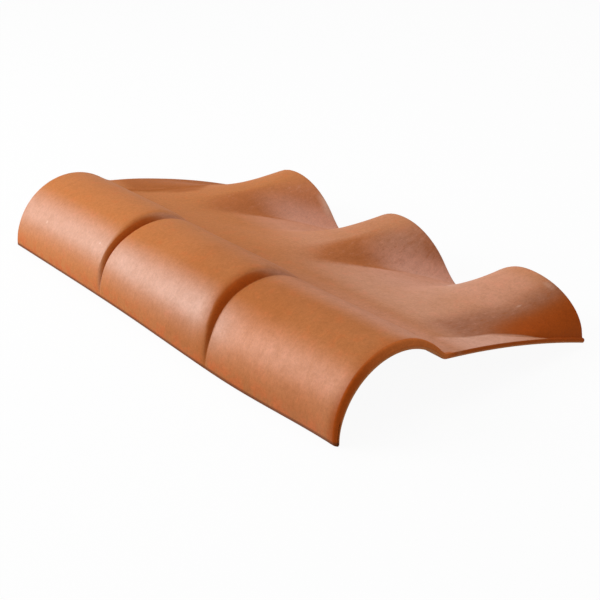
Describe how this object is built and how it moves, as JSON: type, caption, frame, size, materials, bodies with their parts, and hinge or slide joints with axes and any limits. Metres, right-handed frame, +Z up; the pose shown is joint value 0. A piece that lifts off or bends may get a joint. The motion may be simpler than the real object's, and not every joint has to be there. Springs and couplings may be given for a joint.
{
  "type": "ridge roof tile",
  "caption": "Terracotta roof tile moulded in one piece: a half-round barrel of lapped courses with a skirt of cross rolls down one side, for covering a roof's ridge or edge.",
  "frame": {"origin": "on the floor under the middle of the tile's box", "axes": "+Y along the barrel from the front nose to the back end, +X from the barrel to the skirt's right edge, +Z up"},
  "size_m": [0.371, 0.66, 0.0899],
  "materials": {
    "terracotta": "satin fired clay with fine draw marks"
  },
  "bodies": {
    "root": {"ridge_tile": "terracotta"}
  },
  "joints": []
}
